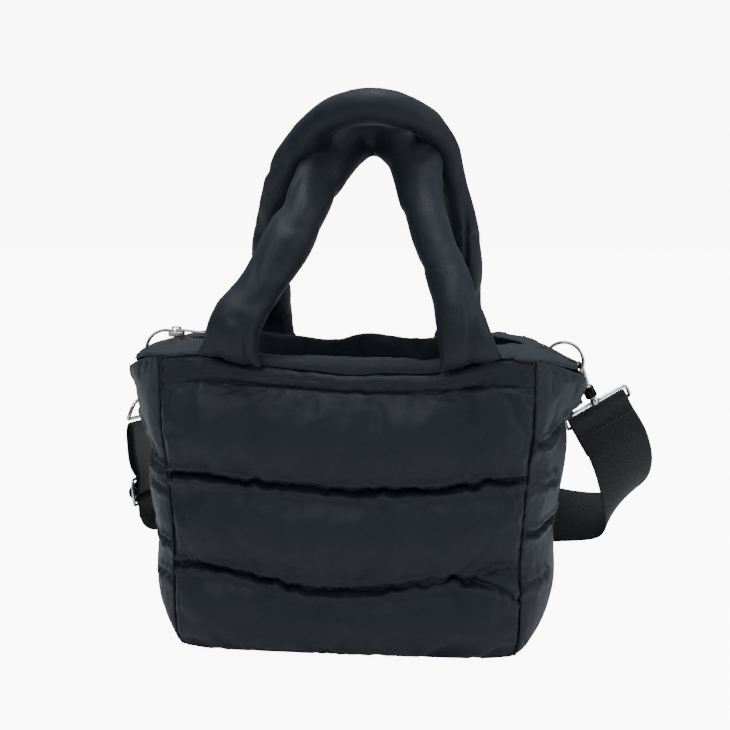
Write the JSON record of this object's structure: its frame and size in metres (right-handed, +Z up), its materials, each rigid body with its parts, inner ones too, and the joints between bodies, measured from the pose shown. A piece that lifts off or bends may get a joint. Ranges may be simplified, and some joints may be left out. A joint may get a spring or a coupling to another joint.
{
  "type": "puffer tote bag",
  "caption": "Soft padded tote with quilted walls, open zipped mouth, two stuffed tube handles and a clip-on webbing shoulder strap on side rings.",
  "frame": {"origin": "centre of the flat base's underside, on the floor", "axes": "+Z up from the base to the handles, -Y towards the front wall, +X to the right seen from the front"},
  "size_m": [0.4032, 0.1996, 0.3851],
  "materials": {
    "shell_fabric": "satin woven nylon",
    "webbing": "ribbed twill webbing",
    "ring_steel": "satin",
    "bright_steel": "polished",
    "gate_steel": "polished",
    "zip_metal": "satin"
  },
  "bodies": {
    "bag": {"front_panel": "shell_fabric", "back_panel": "shell_fabric", "left_gusset": "shell_fabric", "right_gusset": "shell_fabric", "base_panel": "shell_fabric", "front_top_band": "shell_fabric", "back_top_band": "shell_fabric", "front_handle": "shell_fabric", "back_handle": "shell_fabric", "ring_tab_left": "shell_fabric", "ring_tab_right": "shell_fabric", "ring_left": "ring_steel", "ring_right": "ring_steel", "strap_loop_left": "bright_steel", "strap_loop_right": "bright_steel", "strap_slider": "bright_steel", "strap": "webbing", "zip_chain_front": "zip_metal", "zip_chain_back": "zip_metal", "zip_slider": "zip_metal"},
    "hook_left_body": {"hook_left": "bright_steel"},
    "hook_right_body": {"hook_right": "bright_steel"},
    "gate_left_body": {"hook_gate_left": "gate_steel"},
    "gate_right_body": {"hook_gate_right": "gate_steel"},
    "zip_pull_body": {"zip_pull": "zip_metal"}
  },
  "joints": [
    {"name": "hook_left_swivel", "type": "hinge", "parent": "bag", "child": "hook_left_body", "pos_m": [-0.16843, 0.04483, 0.15649], "axis": [0.3601, 0.12, 0.9252], "range_deg": [-25, 25]},
    {"name": "hook_right_swivel", "type": "hinge", "parent": "bag", "child": "hook_right_body", "pos_m": [0.17745, 0.04402, 0.16043], "axis": [-0.4801, 0, 0.8772], "range_deg": [-25, 25]},
    {"name": "gate_left_hinge", "type": "hinge", "parent": "hook_left_body", "child": "gate_left_body", "pos_m": [-0.16381, 0.04995, 0.17132], "axis": [0.8701, 0.3147, -0.3794], "range_deg": [0, 22], "stiffness_Nm_per_rad": 0.002, "springref_deg": -11.46},
    {"name": "gate_right_hinge", "type": "hinge", "parent": "hook_right_body", "child": "gate_right_body", "pos_m": [0.16824, 0.0411, 0.17362], "axis": [-0.753, 0.513, -0.4121], "range_deg": [0, 22], "stiffness_Nm_per_rad": 0.002, "springref_deg": -11.46},
    {"name": "zip_pull_hinge", "type": "hinge", "parent": "bag", "child": "zip_pull_body", "pos_m": [-0.12956, 0, 0.21733], "axis": [0, -1, 0], "range_deg": [0, 160]}
  ]
}
